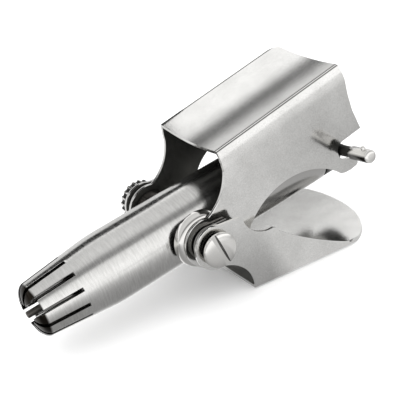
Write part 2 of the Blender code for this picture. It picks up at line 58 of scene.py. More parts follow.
NEAR = -1
FAR = 1
GAP = 0.3
LEVEL = 0.95  # a face is level if this much of its normal points up
FACING = 0.7  # a face looks along an axis if this much of its normal does
LEANING = 0.3  # and leans towards it if this much does
PAST = 1.0  # how far a cutting shape reaches past what it cuts
FINE = 128  # facets round a turned piece
WIRE_SIDES = 12

# Tube
TUBE_R = 6.5
TUBE_WALL = 0.8
TUBE_REAR = 28.9
TUBE_EDGES = (0.2, 0.1)  # rounding of the rear edge, outside and inside
TAPER_FRONT = -29.0
TAPER_REAR = -16.0
TAPER_SOFT = 1.9  # half the length over which the taper runs into the straight tube
SHOULDER_R = 5.1
TAPER_RINGS = (-26.5, -24.0, -21.0)  # extra rings, so that no facet is long
STRAIGHT_RINGS = (-9.0, 0.0, 10.0, 20.0)
CROWN_FRONT = -31.0
CROWN_STEPS = 20
MOUTH_R = 1.9
SLOT_COUNT = 12
SLOT_WIDTH = 0.76
SLOT_REAR = -21.9
SLOT_START_R = 1.3
SLOT_PHASE = math.radians(9.0)
CHANNEL_HALF = 1.25
CHANNEL_TURN = math.radians(144.0)
CHANNEL_FLOOR = -29.3
CHANNEL_STEP = 0.4
CROWN_FRONT_REFLECTION = (0.017, 0.014, 0.011)  # painted reflection: the front of the crown is painted near black, for the dark surroundings it reflects
CROWN_REFLECTION_FROM = -29.35
CROWN_REFLECTION_TO = -29.0
CROWN_REFLECTION_WANDER = 0.35
REAR_PAINTED_SHADE = (0.43, 0.425, 0.415)  # painted shade: the tube is darker where the handles cover it
REAR_SHADE_FROM = (8.0, 12.0)

# Cutter
BLADE_WALL = 0.7
BLADE_BACK = -16.0
BLADE_FLOOR = 1.2
SOCKET_R = 3.0
SOCKET_LENGTH = 3.5
POST_R = 0.62
POST_FRONT = -31.25
POST_EDGE = 0.2
HUB_FRONT = 23.0
HUB_REAR = 32.7
HUB_PLUG_R = 5.4
HUB_PLUG_BEVEL = 0.4
HUB_RIM_R = 6.4
HUB_RIM_EDGES = (0.2, 0.6)  # rounding of the rim, in front and behind
HUB_BORE = 5.0
HUB_DISH = (3.4, 3.1)  # radius of the shallow dish in the rear face, at its edge and at its floor
HUB_DISH_DEPTH = 0.35
HUB_HOLE_END = 8.0  # the pin's hole is cut out to here, past the rim
PIN_X = 30.8
PIN_R = 1.1
PIN_NECK_R = 1.0
PIN_NECK = (9.4, 12.9)
PIN_NECK_STEP = 0.15  # length of the cone and of the edge at the neck's two ends
PIN_NECK_SHADE = (9.0, 12.65)
PIN_HEAD_R = 1.22
PIN_HEAD_EDGE = (0.05, 0.08)
PIN_DOME = 0.6
PIN_DOME_POWER = 0.55  # below 1 a dome is fuller than a round one
PIN_TIP = 18.3
PIN_ROOT = 2.4
PIN_ANGLE = math.radians(8.5)
# Painted shade on the pin's lower side, and the heights over which it gives way to the lit upper side
PIN_PAINTED_SHADE = (0.07, 0.068, 0.065)
PIN_SHADE_BELOW = (0.3, 0.7)
PIN_PAINTED_LIT_END = (0.35, 0.55)  # how far behind the tip the painted highlight on the end runs out
LUG_AT = 16.5
LUG_R = 0.4
LUG_RISE = 0.6
LUG_ROOT = 0.4
LUG_DOME = 0.3
SHAFT_REAR = 27.7
ON_PIN = Matrix.Translation((PIN_X * MM, 0, 0)) @ Matrix.Rotation(-PIN_ANGLE, 4, "X")

# Handles
SHEET = 0.6
SHEET_ENDS = (-8.0, 40.0)  # a sheet before its outline is cut
HINGE_FACETS = 64
UPPER_HALF_WIDTH = 10.09
UPPER_SLOPE = math.tan(math.radians(6.0))
UPPER_BEND_HEIGHT = 12.7
UPPER_BEVEL = (1.0, 0.75)
ROLL_DEPTH = 2.6
ROLL_HIGH = 0.52
ROLL_IN = 0.62
LIP = 0.38  # a narrow lip along both ridges of the top plate, painted dark as shade over most of its width
LIP_SLOPE = 0.055  # both lips fall a little towards the far side
LIP_SHADE_SHARE = 0.67
CREASE = 0.2  # a narrow facet between the roll and the bevel
# Painted shade over this middle share of the crease facet
CREASE_SHADE = (0.3, 0.7)
CREASE_LEAN = (0.6, 0.8)  # upward part of the normal of a face on the bevel
ROLL_STEPS = 8
LIP_STEPS = 3
UPPER_LOW = -8.0
TROUGH_DIP = 0.64
TROUGH_STEPS = 40
TROUGH_UNDER = 0.2  # the trough's underside stops this far inside the wall's inner face
UPPER_EAR_R = 4.47
UPPER_FRONT = 7.0
UPPER_REAR = 34.4
UPPER_NOSE = (6.9, 10.7)  # where the hollow front edge ends under the top plate
UPPER_NOSE_BOW = -1.05
UPPER_OVER = 20.0  # a height above the whole top plate
UPPER_REAR_EDGE = [(UPPER_REAR, 16.3), (34.6, 14.3), (34.45, 11.2), (34.6, 8), (35.4, 3.8)]
CORNER_R = 3.0
CORNER_AT = (31.7, 6.3)
CORNER_LOW = 14.5
CORNER_HEIGHT = 6.0
FAR_WALL_REAR = [(31.7, 15.6), (32.1, 14.2), (32.9, 12.8), (33.9, 11.6), (34.8, 10.9)]
FORK_SLOT_HALF = 1.9
FORK_SLOT_END = (31.4, 1.5)
FORK_TOE = [(33.1, -1.9), (33.15, -2.3), (32.8, -2.6), (31.4, -2.85), (30, -2.75)]
EAR_HOLLOW = (4.9, 2.0, 5.25)  # x, z and radius of an arc, as for the arches and the notch
ARCH_NEAR = (18.5, -11.2, 13.75)
ARCH_FAR = (18.6, -4.3, 9.7)
ARCH_FAR_FACETS = 180
ARCH_FAR_INNER = 5.0
LOWER_HALF_WIDTH = 12.67
LOWER_HIGH = 8.0
LOWER_EAR_R = 4.02
LOWER_FRONT_HOLLOW = (-2.13, -10.7, 7.08)
LOWER_EAR_END = (5.7, 2.8)
LOWER_NOTCH = (10.6, 2.3, 4.45)
LOWER_NOTCH_END = (11.5, -2.5)
LOWER_FLARE = 0.137
LOWER_FLARE_FROM = 5.0
FOLD_R = 1.2
WALL_END = -12.75
WALL_SLOPE = ((11.8, -3.3), (24.2, WALL_END))  # the wall's edge, from the notch down to the fold
WALL_SLOPE_BOW = -0.55
WALL_UNDER = -20.0  # a height below the whole lower handle
WEB_FRONT = 4.85
WEB_DROP = -12.15
WEB_SLOPE = -0.075
INSIDE_SHADE_TO = 8.0  # the lower handle's inside is painted dark as shade in front of here
WEB_TOP = -8.0  # of its level faces, the web's lie below this height
PADDLE_CENTRE = 22.5
PADDLE_LENGTH = 10.1
PADDLE_HALF = 15.4
PADDLE_POWER = 2.2  # of the superellipse that rounds the paddle
PADDLE_STEPS = 96
PLAN_FRONT = -10.0
PLAN_REACH = 20.0

# Pivot
BORE_R = 1.9
AXLE_R = 1.6
AXLE_INNER = 7.1
BOSS_ROOT = 4.0
BOSS_EDGE = 0.12
SADDLE_REACH = 8.0  # half the length of the tube that shapes the foot of a boss
BOSS_FOOT_R = 3.4
BOSS_FLANGE = 7.4
BOSS_FLANGE_R = 5.2
BOSS_END_R = 3.95
SPACER_R = 2.6
SPRING_WIRE = 0.17
SPRING_COIL_R = 3.15
SPRING_TURNS = 2.5
SPRING_STEPS = 48
SPRING_INNER_TAIL = Vector((4.2, 0, -0.6))
SPRING_OUTER_TAIL = Vector((4.5, 0, -0.9))
WASHER_R = 2.7
WASHER_THICK = 0.2
HEAD_R = 3.14
HEAD_RIM = 0.45
HEAD_EDGE = 0.12
HEAD_RISE = 1.05
HEAD_POWER = 0.7
HEAD_SLOT_WIDTH = 1.0
HEAD_SLOT_DEPTH = 0.7
HEAD_SLOT_TURN = math.radians(-10.0)
NUT_HEIGHT = 1.65
NUT_R = 3.9
NUT_ROOT_R = 3.5
NUT_TEETH = 20
# Half a tooth, from its groove to its crest: the part of a pitch from its middle, and the radius
NUT_HALF_TOOTH = ((-0.34, NUT_ROOT_R), (-0.26, NUT_ROOT_R + 0.06), (-0.16, NUT_R - 0.05), (-0.1, NUT_R))
# Cones that bevel the teeth at both ends: how far outwards from the end, and how far beyond the crests
NUT_INNER_CONE = ((-1.0, -0.9), (0.3, 0.3))
NUT_OUTER_CONE = ((-0.4, 0.2), (0.2, -0.4))
NUT_SHADE_R = NUT_R - 0.12
STUD_PROUD = 0.3
STUD_BEVEL = 0.3

# Inside the tube
BUSH = (2.0, 8.0)
COIL_WIRE = 0.35
COIL_R = 2.6
COIL_TURNS = 8
COIL_STEPS = 36

# Materials
FINE_SHARE = 0.55  # share of the fine cloud in a steel's tone
COLOUR_A = 6  # the colour sockets of a Mix node
COLOUR_B = 7
COLOUR_OUT = 2

# Stage
FLOOR = 3.0
FLOOR_WHITES = ((0.94, 0.94, 0.94), (0.96, 0.96, 0.96))
# Range of y, and greys of the painted shade that reflections see on the floor, by y: the near side is
# below 0
FLOOR_TONES = (-0.16, 0.06, [
    (-0.16, 1.3), (-0.09, 1.2), (-0.06, 1.02), (-0.0415, 0.8), (-0.0245, 0.6), (-0.0165, 0.46),
    (-0.0085, 0.38), (-0.0025, 0.36), (-0.0002, 0.55), (0.0019, 0.98), (0.0055, 1.2),
    (0.012, 1.1), (0.027, 0.95), (0.055, 0.92),
])
# Towards the handles' rear the reflected floor falls off to this share of its grey, from x to x
FLOOR_FALL = (0.024, 0.048, 0.74)
# Under the handles the reflected floor is at least this grey; it rises to it from x to x
FLOOR_REAR = (0.003, 0.012, 0.80)
# Black cards behind the trimmer that only show as a dark line in the tube: x, x, y, z, z
FLAGS = [(-0.036, 0.018, 0.060, 0.041, 0.083), (-0.004, 0.0105, 0.016, 0.0245, 0.0325)]
FLAG_BLACK = (0.02, 0.02, 0.02, 1)
OPEN_LIGHT = 1.6
# Greys of the tent by the angle over the trimmer, in degrees from the near side's horizon
TENT = [
    (0, 1.34), (10, 1.36), (17, 1.36), (29, 1.22), (41, 1.14), (48, 0.95), (52, 0.32), (62, 0.3),
    (68, 0.45), (76, 0.82), (88, 0.88), (100, 0.84), (113, 0.8), (124, 0.85), (130, 1.32),
    (142, 1.32), (145, 1.1), (147, 0.5), (148.3, 0.12), (151.5, 0.1), (153.5, 0.3), (156, 0.65),
    (158.5, 0.92), (162, 0.9), (170, 0.85), (180, 0.9),
]

# Camera
CAMERA_FROM_PIVOT = Vector((-0.0674916, -0.1505308, 0.091258))
CAMERA_AZIMUTH = math.radians(25.81)
CAMERA_DOWN = math.radians(28.01)
CAMERA_ROLL = math.radians(-14.32)
CAMERA_LENS = 95.55
CAMERA_SENSOR = 36.0
CAMERA_NEAREST = 0.01


# ---------------------------------------------------------------- meshes


def raw_object(name, bm, local=Matrix()):
    """A bmesh drawn in millimetres in the trimmer's frame, as an object in the row frame."""
    bmesh.ops.remove_doubles(bm, verts=bm.verts, dist=1e-5)
    bmesh.ops.dissolve_degenerate(bm, edges=bm.edges, dist=1e-5)
    bmesh.ops.recalc_face_normals(bm, faces=bm.faces)
    bmesh.ops.scale(bm, vec=(MM, MM, MM), verts=bm.verts)
    mesh = bpy.data.meshes.new(name)
    bm.to_mesh(mesh)
    bm.free()
    mesh.transform(TO_ROW @ local)
    made = bpy.data.objects.new(name, mesh)
    bpy.context.scene.collection.objects.link(made)
    return made


def arc(centre_x, centre_z, radius, start, end, steps):
    """Points on a circle from one angle to another, both in degrees."""
    points = []
    for step in range(steps + 1):
        turn = math.radians(start + (end - start) * step / steps)
        points.append((centre_x + radius * math.cos(turn), centre_z + radius * math.sin(turn)))
    return points


def circle(centre_x, centre_z, radius, corners):
    """Evenly spread corners all round a circle."""
    return arc(centre_x, centre_z, radius, 0, 360 * (corners - 1) / corners, corners - 1)


def bowed(start, end, bow, steps):
    """Points from start towards end along a shallow arc, bulging to the left by bow."""
    (x0, z0), (x1, z1) = start, end
    length = math.hypot(x1 - x0, z1 - z0)
    points = []
    for step in range(steps):
        part = step / steps
        rise = 4 * bow * part * (1 - part) / length
        x = x0 + (x1 - x0) * part - (z1 - z0) * rise
        z = z0 + (z1 - z0) * part + (x1 - x0) * rise
        points.append((x, z))
    return points


def prism(name, corners, travel, local=Matrix()):
    """A closed flat outline of (x, y, z) corners, drawn out along a vector."""
    bm = bmesh.new()
    face = bm.faces.new([bm.verts.new(corner) for corner in corners])
    drawn = bmesh.ops.extrude_face_region(bm, geom=[face])["geom"]
    moved = [part for part in drawn if isinstance(part, bmesh.types.BMVert)]
    bmesh.ops.translate(bm, verts=moved, vec=travel)
    return raw_object(name, bm, local)


def extruded(name, outline, low, high, local=Matrix()):
    """A closed (x, z) outline drawn out along Y from low to high."""
    return prism(name, [(x, low, z) for x, z in outline], (0, high - low, 0), local)


def box(bm, size, middle):
    """Adds a box of (x, y, z) size about its middle and gives its vertices."""
    corners = bmesh.ops.create_cube(bm, size=1.0)["verts"]
    bmesh.ops.scale(bm, vec=size, verts=corners)
    bmesh.ops.translate(bm, vec=middle, verts=corners)
    return corners


def bridge(bm, first, second, closed):
    """Faces from one row of vertices to the next, all the way round if the rows are closed."""
    for index in range(len(first) if closed else len(first) - 1):
        after = (index + 1) % len(first)
        bm.faces.new((first[index], first[after], second[after], second[index]))


def station_rows(bm, sections):
    """The vertices of cross-sections [(x, [(y, z), ...]), ...], one row for each."""
    return [[bm.verts.new((x, y, z)) for y, z in section] for x, section in sections]


def turned(name, profile, along, steps=FINE, local=Matrix()):
    """A closed profile of (distance along the axis, radius), turned round X or Y."""
    bm = bmesh.new()
    rings = []
    for distance, radius in profile:
        ring = []
        for step in range(steps if radius else 1):
            turn = 2 * math.pi * step / steps
            side, up = radius * math.cos(turn), radius * math.sin(turn)
            place = (distance, side, up) if along == "X" else (side, distance, up)
            ring.append(bm.verts.new(place))
        rings.append(ring)
    for first, second in zip(rings, rings[1:] + rings[:1]):
        if len(first) == len(second) == 1:
            continue
        for step in range(steps):
            after = (step + 1) % steps
            corners = [first[step % len(first)], first[after % len(first)]]
            corners += [second[after % len(second)], second[step % len(second)]]
            bm.faces.new(list(dict.fromkeys(corners)))
    return raw_object(name, bm, local)


def swept(name, route, radius):
    """A round wire along a list of points, with flat ends."""
    bm = bmesh.new()
    rings = []
    side = None
    for index, here in enumerate(route):
        before = route[max(index - 1, 0)]
        after = route[min(index + 1, len(route) - 1)]
        ahead = (Vector(after) - Vector(before)).normalized()
        guess = side or ahead.orthogonal()
        side = (guess - ahead * guess.dot(ahead)).normalized()
        other = ahead.cross(side)
        ring = []
        for step in range(WIRE_SIDES):
            turn = 2 * math.pi * step / WIRE_SIDES
            offset = side * math.cos(turn) + other * math.sin(turn)
            ring.append(bm.verts.new(Vector(here) + offset * radius))
        rings.append(ring)
    for first, second in zip(rings, rings[1:]):
        bridge(bm, first, second, closed=True)
    bm.faces.new(rings[0])
    bm.faces.new(rings[-1])
    return raw_object(name, bm)


def combine(target, tool, operation):
    """Applies a Boolean straight away and removes its tool."""
    modifier = target.modifiers.new(operation.lower(), "BOOLEAN")
    modifier.operation = operation
    modifier.object = tool
    apply_modifiers(target)
    bpy.data.objects.remove(tool, do_unlink=True)


def cut(target, tool):
    """Takes one shape out of another."""
    combine(target, tool, "DIFFERENCE")


def apply_modifiers(target):
    """Makes the modified shape the object's own mesh."""
    bpy.context.view_layer.update()
    graph = bpy.context.evaluated_depsgraph_get()
    mesh = bpy.data.meshes.new_from_object(target.evaluated_get(graph))
    target.modifiers.clear()
    old = target.data
    target.data = mesh
    mesh.name = old.name
    bpy.data.meshes.remove(old)


def shade(made, sharp, edge=0.0):
    """Smooth shading but for edges over sharp degrees, which are rounded by edge millimetres."""
    mesh = made.data
    mesh.shade_smooth()
    if edge:
        bevel = made.modifiers.new("edges", "BEVEL")
        bevel.width = edge * MM
        bevel.segments = 2
        bevel.limit_method = "ANGLE"
        bevel.angle_limit = math.radians(sharp)
        bevel.use_clamp_overlap = True
        bevel.harden_normals = False
        weigh = made.modifiers.new("normals", "WEIGHTED_NORMAL")
        weigh.keep_sharp = True
        weigh.weight = 50
    else:
        mesh.set_sharp_from_angle(angle=math.radians(sharp))
    return made


def second_look(made, material, chosen):
    """Gives a second material to the faces that chosen picks by middle, in mm, and normal."""
    made.data.materials.append(material)
    back = TO_ROW.inverted()
    for face in made.data.polygons:
        if chosen((back @ face.center) / MM, back.to_3x3() @ face.normal):
            face.material_index = 1


def dress(made, body, material, nodes):
    """Material, body and replaced CAD nodes of one finished piece."""
    made.data.materials.clear()
    made.data.materials.append(material)
    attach(made, body)
    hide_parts(*nodes)


# ---------------------------------------------------------------- materials


class Nodes:
    """A short way to wire up a material's nodes."""

    def __init__(self, name):
        self.material = bpy.data.materials.new(name)
        self.material.use_nodes = True
        self.tree = self.material.node_tree
        self.shader = self.tree.nodes["Principled BSDF"]
        coordinates = self.tree.nodes.new("ShaderNodeTexCoord")
        undo = {"Vector": coordinates.outputs["Object"], "Location": pivot, "Rotation": (0, -tilt, 0)}
        self.place = self.add("Mapping", undo, vector_type="TEXTURE").outputs["Vector"]

    def add(self, kind, inputs=(), **settings):
        """A node with its settings, and with each input set to a value or linked."""
        node = self.tree.nodes.new("ShaderNode" + kind)
        for name, value in settings.items():
            setattr(node, name, value)
        for name, value in dict(inputs).items():
            socket = node.inputs[name]
            if isinstance(value, bpy.types.NodeSocket):
                self.tree.links.new(value, socket)
            else:
                socket.default_value = value
        return node

    def feed(self, socket, value):
        """Links a value to one of the shader's sockets."""
        self.tree.links.new(value, self.shader.inputs[socket])

    def stretched(self, scale):
        """Places in the trimmer's frame scaled by (x, y, z), in cells per metre."""
        return self.add("Mapping", {"Vector": self.place, "Scale": scale}).outputs["Vector"]

    def noise(self, scale, detail=3.0, rough=0.5):
        """Noise from 0 to 1, with this many cells per metre along x, y and z."""
        inputs = {"Vector": self.stretched(scale), "Scale": 1.0, "Detail": detail, "Roughness": rough}
        return self.add("TexNoise", inputs).outputs["Fac"]

    def spread(self, value, low, high, from_low=0.3, from_high=0.7):
        """A value carried over from one range to another and held at its ends."""
        inputs = {"Value": value, "From Min": from_low, "From Max": from_high}
        inputs.update({"To Min": low, "To Max": high})
        return self.add("MapRange", inputs).outputs["Result"]

    def mix(self, factor, first, second):
        """A plain colour that goes over to a second one as factor rises to 1."""
        node = self.tree.nodes.new("ShaderNodeMix")
        node.data_type = "RGBA"
        self.tree.links.new(factor, node.inputs["Factor"])
        node.inputs[COLOUR_A].default_value = (*first, 1.0)
        node.inputs[COLOUR_B].default_value = (*second, 1.0)
        return node.outputs[COLOUR_OUT]

    def cover(self, colour, factor, over):
        """A linked colour with a plain one over it, where factor is 1."""
        mixed = self.mix(factor, over, over)
        self.tree.links.new(colour, mixed.node.inputs[COLOUR_A])
        return mixed

    def blend_values(self, first, second, share):
        """A weighted mean of two values, with this share of the second."""
        kept = self.add("Math", {0: first, 1: 1 - share}, operation="MULTIPLY").outputs[0]
        inputs = {0: second, 1: share, 2: kept}
        return self.add("Math", inputs, operation="MULTIPLY_ADD").outputs[0]

    def bump(self, height, distance):
        """Relief of a depth in millimetres."""
        inputs = {"Height": height, "Distance": distance * MM, "Strength": 1.0}
        normal = self.add("Bump", inputs).outputs["Normal"]
        self.feed("Normal", normal)


def steel(name, dark, light, rough, grain, grain_bump, blotch=(120, 120, 120), fine=None):
    """Steel whose colour wanders between two tones, with a directional or an even grain."""
    nodes = Nodes(name)
    nodes.shader.inputs["Metallic"].default_value = 1.0
    lines = nodes.noise(grain, detail=4.0, rough=0.6)
    cloud = nodes.noise(blotch, detail=4.0)
    if fine:
        cloud = nodes.blend_values(cloud, nodes.noise(fine, rough=0.6), FINE_SHARE)
    nodes.feed("Base Color", nodes.mix(nodes.spread(cloud, 0, 1), dark, light))
    nodes.feed("Roughness", nodes.spread(lines, *rough))
    nodes.bump(lines, grain_bump)
    return nodes


def crown_steel():
    """The tube's brushed steel, with a painted dark reflection over the front of the crown and painted
    shade at the rear, where the handles cover it.
    """
    nodes = steel(
        "tube_steel", (0.56, 0.555, 0.54), (0.74, 0.735, 0.72), (0.14, 0.24),
        (2600, 260, 260), 0.004, blotch=(160, 160, 160), fine=(3400, 500, 500),
    )
    bright = nodes.shader.inputs["Base Color"].links[0].from_socket
    split = nodes.add("SeparateXYZ", {"Vector": nodes.place})
    # Painted reflection: from here forwards the crown's front goes near black, along a wandering edge.
    wander = nodes.noise((500, 500, 500))
    edge = nodes.add("Math", {0: wander, 1: CROWN_REFLECTION_WANDER * MM}, operation="MULTIPLY").outputs[0]
    along = nodes.add("Math", {0: split.outputs["X"], 1: edge}, operation="ADD").outputs[0]
    painted_reflection = nodes.spread(along, 1, 0, CROWN_REFLECTION_FROM * MM, CROWN_REFLECTION_TO * MM)
    # Painted shade: behind here the tube is darker, under the handles.
    low, high = REAR_SHADE_FROM
    behind = nodes.spread(split.outputs["X"], 0, 1, low * MM, high * MM)
    shaded_rear = nodes.cover(bright, behind, REAR_PAINTED_SHADE)
    nodes.feed("Base Color", nodes.cover(shaded_rear, painted_reflection, CROWN_FRONT_REFLECTION))
    return nodes.material


def pin_steel():
    """The pin's steel: painted light along its upper side and on its end, painted shade below."""
    nodes = steel(
        "pin_steel", (0.70, 0.69, 0.67), (0.80, 0.79, 0.77), (0.12, 0.2), (600, 3000, 3000), 0.003
    )
    bright = nodes.shader.inputs["Base Color"].links[0].from_socket
    on_pin = {"Vector": nodes.place, "Location": (PIN_X * MM, 0, 0), "Rotation": (-PIN_ANGLE, 0, 0)}
    local = nodes.add("Mapping", on_pin, vector_type="TEXTURE").outputs["Vector"]
    split = nodes.add("SeparateXYZ", {"Vector": local})
    # Painted light and shade: the pin is lighter above and at its end, darker below.
    low, high = PIN_SHADE_BELOW
    upper = nodes.spread(split.outputs["Z"], 0, 1, low * MM, high * MM)
    first, last = (-(PIN_TIP - part) * MM for part in PIN_PAINTED_LIT_END)
    end = nodes.spread(split.outputs["Y"], 1, 0, first, last)
    both = nodes.add("Math", {0: upper, 1: end}, operation="MAXIMUM").outputs[0]
    joined = nodes.mix(both, PIN_PAINTED_SHADE, PIN_PAINTED_SHADE)
    nodes.tree.links.new(bright, joined.node.inputs[COLOUR_B])
    nodes.feed("Base Color", joined)
    return nodes.material


# ---------------------------------------------------------------- tube and cutter


def taper_radius(x):
    """Outer radius of the tube at x, without the crown's rounding."""
    slope = (TUBE_R - SHOULDER_R) / (TAPER_REAR - TAPER_FRONT)
    return SHOULDER_R + (min(x, TAPER_REAR) - TAPER_FRONT) * slope


def crown_curve(inset):
    """The rounded nose from the mouth to the shoulder, moved in by a distance."""
    points = []
    depth = TAPER_FRONT - CROWN_FRONT - inset
    rise = SHOULDER_R - inset - MOUTH_R
    for step in range(CROWN_STEPS + 1):
        turn = math.radians(90 * step / CROWN_STEPS)
        x = TAPER_FRONT - depth * math.cos(turn)
        points.append((x, MOUTH_R + rise * math.sin(turn)))
    return points


def slot_cutter():
    """The blades of space that open the crown's slots, evenly spread round the tube."""
    bm = bmesh.new()
    length = SLOT_REAR - CROWN_FRONT + 3 * PAST
    reach = TUBE_R + PAST - SLOT_START_R
    middle = (SLOT_REAR - length / 2, SLOT_START_R + reach / 2, 0)
    for number in range(SLOT_COUNT):
        turn = SLOT_PHASE + 2 * math.pi * number / SLOT_COUNT
        blade = box(bm, (length, reach, SLOT_WIDTH), middle)
        bmesh.ops.rotate(bm, matrix=Matrix.Rotation(turn, 3, "X"), verts=blade)
    return raw_object("slot_cutter", bm)


def channel_cutter(floor):
    """The channel across the crown's front, on both sides of the middle post."""
    bm = bmesh.new()
    front = CROWN_FRONT - PAST
    start = POST_R + GAP
    reach = TUBE_R + PAST - start
    for side in (FAR, NEAR):
        middle = ((floor + front) / 2, (start + reach / 2) * side, 0)
        box(bm, (floor - front, reach, 2 * CHANNEL_HALF), middle)
    bmesh.ops.rotate(bm, matrix=Matrix.Rotation(CHANNEL_TURN, 3, "X"), verts=bm.verts)
    return raw_object("channel_cutter", bm)


def tube_stations():
    """Outer radius along the tapered and the straight stretch, softened where they meet."""
    points = [(x, taper_radius(x)) for x in TAPER_RINGS]
    ease = TAPER_SOFT * (TUBE_R - SHOULDER_R) / (TAPER_REAR - TAPER_FRONT) / 4
    for step in range(-4, 5):
        away = step / 4
        x = TAPER_REAR + away * TAPER_SOFT
        points.append((x, taper_radius(x) - ease * (1 - abs(away)) ** 2))
    return points + [(x, TUBE_R) for x in STRAIGHT_RINGS]


def make_tube(material):
    """The tube with its rounded, slotted crown."""
    bore = TUBE_R - TUBE_WALL
    outer, inner = TUBE_EDGES
    outside = crown_curve(0.0) + tube_stations()
    outside += arc(TUBE_REAR - outer, TUBE_R - outer, outer, 90, 0, 4)
    inside = arc(TUBE_REAR - inner, bore + inner, inner, 0, -90, 3)
    inside += [(TAPER_REAR, bore)] + crown_curve(TUBE_WALL)[::-1]
    tube = turned("tube", outside + inside, "X", 192)
    cut(tube, slot_cutter())
    cut(tube, channel_cutter(CHANNEL_FLOOR))
    shade(tube, 30, 0.06)
    dress(tube, "barrel", material, ["outer_tube"])


def make_blade(material):
    """The slotted cup inside the crown, with its middle post and its socket for the shaft."""
    inset = TUBE_WALL + GAP
    wall = inset + BLADE_WALL
    floor = BLADE_BACK - BLADE_FLOOR
    socket = BLADE_BACK + SOCKET_LENGTH
    outside = crown_curve(inset) + [(BLADE_BACK, taper_radius(BLADE_BACK) - inset)]
    outside += [(BLADE_BACK, SOCKET_R), (socket, SOCKET_R), (socket, BORE_R)]
    outside += [(BLADE_BACK + GAP, BORE_R), (BLADE_BACK + GAP, 0)]
    inside = [(POST_FRONT, 0)]
    inside += arc(POST_FRONT + POST_EDGE, POST_R - POST_EDGE, POST_EDGE, 180, 90, 4)
    inside += [(floor, POST_R), (floor, taper_radius(floor) - wall)]
    inside += crown_curve(wall)[::-1]
    blade = turned("blade_cup", outside + inside, "X", 144)
    cut(blade, slot_cutter())
    cut(blade, channel_cutter(CHANNEL_FLOOR + CHANNEL_STEP))
    shade(blade, 30, 0.04)
    dress(blade, "cutter", material, ["inner_blade"])


def make_hub(material):
    """The plug that turns in the tube's rear end, with the hole for the pin."""
    rim = TUBE_REAR + GAP
    bore_end = HUB_FRONT + HUB_BORE
    front, rear = HUB_RIM_EDGES
    dish_r, dish_floor_r = HUB_DISH
    dish = HUB_REAR - HUB_DISH_DEPTH
    profile = [(bore_end, 0), (bore_end, BORE_R), (HUB_FRONT, BORE_R)]
    profile += [(HUB_FRONT, HUB_PLUG_R - HUB_PLUG_BEVEL), (HUB_FRONT + HUB_PLUG_BEVEL, HUB_PLUG_R)]
    profile.append((rim, HUB_PLUG_R))
    profile += arc(rim + front, HUB_RIM_R - front, front, 180, 90, 3)
    profile += arc(HUB_REAR - rear, HUB_RIM_R - rear, rear, 90, 0, 6)
    profile += [(HUB_REAR, dish_r), (dish, dish_floor_r), (dish, 0)]
    hub = turned("hub", profile, "X", 144)
    hole_r = PIN_R + GAP
    root = -PIN_ROOT + GAP
    hole = [(root, 0), (root, hole_r), (-HUB_HOLE_END, hole_r), (-HUB_HOLE_END, 0)]
    cut(hub, turned("hole", hole, "Y", 64, ON_PIN))
    shade(hub, 30, 0.05)
    dress(hub, "cutter", material, ["drive_hub"])


def make_pin(material, painted_shade):
    """The drive pin: a rod with a neck painted dark as shade, and a domed end."""
    neck, neck_end = PIN_NECK
    edge_along, edge_in = PIN_HEAD_EDGE
    profile = [(-PIN_ROOT, 0), (-PIN_ROOT, PIN_R), (-neck + PIN_NECK_STEP, PIN_R)]
    profile += [(-neck, PIN_NECK_R), (-neck_end, PIN_NECK_R)]
    profile += [(-neck_end - edge_along, PIN_HEAD_R - edge_in), (-neck_end - PIN_NECK_STEP, PIN_HEAD_R)]
    for step in range(9):
        turn = math.radians(90 * step / 8)
        reach = PIN_TIP - PIN_DOME + PIN_DOME * math.sin(turn)
        profile.append((-reach, PIN_HEAD_R * math.cos(turn) ** PIN_DOME_POWER if step < 8 else 0))
    pin = turned("pin", profile, "Y", 96, ON_PIN)
    shade(pin, 40)
    dress(pin, "cutter", material, ["drive_pin"])
    # Painted shade over the neck.
    first, last = PIN_NECK_SHADE
    second_look(pin, painted_shade, lambda middle, normal: first < -middle.y < last)


def make_lug(material):
    """The small round nib on the pin, near its end."""
    top = PIN_HEAD_R + LUG_RISE
    profile = [(-LUG_ROOT, 0), (-LUG_ROOT, LUG_R), (top - LUG_DOME, LUG_R)]
    for step in range(1, 6):
        turn = math.radians(90 * step / 6)
        profile.append((top - LUG_DOME + LUG_DOME * math.sin(turn), LUG_R * math.cos(turn)))
    profile.append((top, 0))
    across = Matrix.Translation((0, -LUG_AT * MM, 0)) @ Matrix.Rotation(math.radians(90), 4, "X")
    lug = turned("lug", profile, "Y", 48, ON_PIN @ across)
    shade(lug, 50)
    dress(lug, "cutter", material, ["pin_lug"])


def make_shaft(material):
    """The rod that joins the blade to the hub."""
    front = BLADE_BACK + 2 * GAP
    profile = [(front, 0), (front, AXLE_R), (SHAFT_REAR, AXLE_R), (SHAFT_REAR, 0)]
    shaft = shade(turned("shaft", profile, "X", 64), 30, 0.05)
    dress(shaft, "cutter", material, ["cutter_shaft"])


# ---------------------------------------------------------------- handles


def folded_sheet(name, sections):
    """A sheet through matching cross-sections [(x, [(y, z), ...]), ...] of its outer face."""
    bm = bmesh.new()
    rows = station_rows(bm, sections)
    for first, second in zip(rows, rows[1:]):
        bridge(bm, first, second, closed=False)
    made = raw_object(name, bm)
    solidify = made.modifiers.new("sheet", "SOLIDIFY")
    solidify.thickness = SHEET * MM
    solidify.offset = -1.0
    solidify.use_even_offset = True
    apply_modifiers(made)
    return made


def lofted(name, sections):
    """A solid through matching closed cross-sections [(x, [(y, z), ...]), ...]."""
    bm = bmesh.new()
    rows = station_rows(bm, sections)
    for first, second in zip(rows, rows[1:]):
        bridge(bm, first, second, closed=True)
    bm.faces.new(rows[0])
    bm.faces.new(rows[-1])
    return raw_object(name, bm)


def split_line(first, last, parts):
    """Points from first up to, but without, last."""
    shares = [step / parts for step in range(parts)]
    return [(first[0] + (last[0] - first[0]) * t, first[1] + (last[1] - first[1]) * t) for t in shares]


